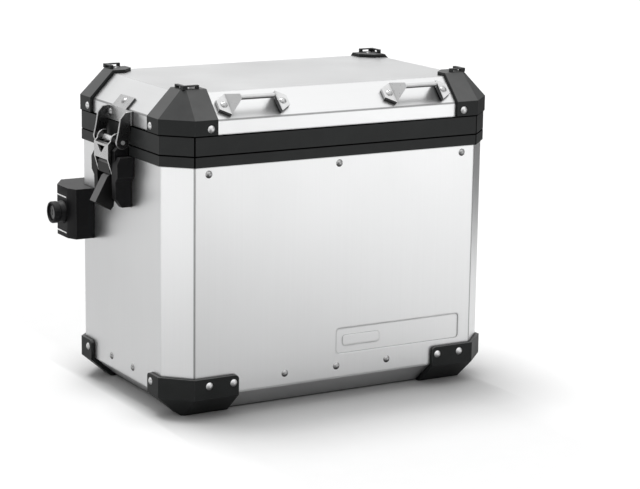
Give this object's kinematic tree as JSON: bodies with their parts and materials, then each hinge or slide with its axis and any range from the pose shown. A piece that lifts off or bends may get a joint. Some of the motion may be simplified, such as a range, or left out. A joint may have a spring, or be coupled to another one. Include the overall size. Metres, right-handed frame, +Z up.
{
  "type": "motorcycle side case",
  "caption": "Aluminium motorcycle side case with black corner guards, latched lid hinging at one end, tie-down handles and carrier lock.",
  "frame": {"origin": "middle of the flat underside that the case stands on", "axes": "+X along the case towards the hinge end, +Y towards the motorcycle, +Z up"},
  "size_m": [0.5233, 0.3079, 0.3898],
  "materials": {
    "sheet": "vertically brushed sheet",
    "lid_sheet": "lengthwise brushed sheet",
    "rim": "satin black moulding",
    "guard": "fine grained black moulding",
    "seal": "soft black rubber",
    "rivet": "domed, polished",
    "handle": "satin casting",
    "steel": "stainless, brushed",
    "bar": "ground bright",
    "housing": "satin black moulding",
    "lever": "satin black moulding",
    "lock": "black moulding",
    "lock_metal": "plated",
    "screw": "plated"
  },
  "bodies": {
    "case": {"body_shell": "sheet", "base_pan": "sheet", "body_rim": "rim", "rim_rivets": "rivet", "base_pan_rivets": "rivet", "base_guard_rivets": "rivet", "carrier_hook_rivets": "rivet", "base_guard_front_left": "guard", "base_guard_front_right": "guard", "base_guard_rear_left": "guard", "base_guard_rear_right": "guard", "carrier_hook_left": "steel", "carrier_hook_right": "steel", "latch_housing_left": "housing", "latch_housing_right": "housing", "latch_screws_left": "screw", "latch_screws_right": "screw", "latch_lever_pin_left": "bar", "latch_lever_pin_right": "bar", "carrier_lock_housing": "lock", "carrier_lock_barrel": "lock", "carrier_lock_screws": "screw"},
    "lid": {"lid_shell": "lid_sheet", "lid_rim": "rim", "lid_seal": "seal", "lid_guard_rivets": "rivet", "handle_rivets": "rivet", "latch_bracket_rivets": "rivet", "lid_guard_front_left": "guard", "lid_guard_front_right": "guard", "lid_guard_rear_left": "guard", "lid_guard_rear_right": "guard", "tie_down_handle_left": "handle", "tie_down_handle_right": "handle", "latch_bracket_left": "steel", "latch_bracket_right": "steel", "latch_bar_left": "bar", "latch_bar_right": "bar"},
    "lever_left": {"latch_lever_left": "lever", "latch_hook_pin_left": "bar"},
    "hook_left": {"latch_hook_left": "steel"},
    "lever_right": {"latch_lever_right": "lever", "latch_hook_pin_right": "bar"},
    "hook_right": {"latch_hook_right": "steel"},
    "lock_cylinder": {"carrier_lock_cylinder": "lock_metal"},
    "claw": {"carrier_lock_claw": "steel"}
  },
  "joints": [
    {"name": "lid_hinge", "type": "hinge", "parent": "case", "child": "lid", "pos_m": [0.233, 0, 0.3158], "axis": [0, 1, 0], "range_deg": [0, 90]},
    {"name": "left_lever", "type": "hinge", "parent": "case", "child": "lever_left", "pos_m": [-0.2328, 0, 0.28165], "axis": [0, 1, 0], "range_deg": [0, 75]},
    {"name": "left_hook", "type": "hinge", "parent": "lever_left", "child": "hook_left", "pos_m": [-0.2379, 0, 0.27865], "axis": [0, 1, 0], "range_deg": [-121, 0]},
    {"name": "right_lever", "type": "hinge", "parent": "case", "child": "lever_right", "pos_m": [0.2328, 0, 0.28165], "axis": [0, -1, 0], "range_deg": [0, 75]},
    {"name": "right_hook", "type": "hinge", "parent": "lever_right", "child": "hook_right", "pos_m": [0.2379, 0, 0.27865], "axis": [0, -1, 0], "range_deg": [-121, 0]},
    {"name": "key_turn", "type": "hinge", "parent": "case", "child": "lock_cylinder", "pos_m": [-0.25, 0.105, 0.211], "axis": [1, 0, 0], "range_deg": [0, 90]},
    {"name": "claw_slide", "type": "slide", "parent": "case", "child": "claw", "axis": [0, -1, 0], "range_m": [0, 0.00707]}
  ],
  "couplings": [
    {"joint": "left_hook", "follows": "left_lever", "ratio": -1.6},
    {"joint": "right_hook", "follows": "right_lever", "ratio": -1.6},
    {"joint": "key_turn", "follows": "claw_slide", "rad_per_m": 222.14}
  ]
}
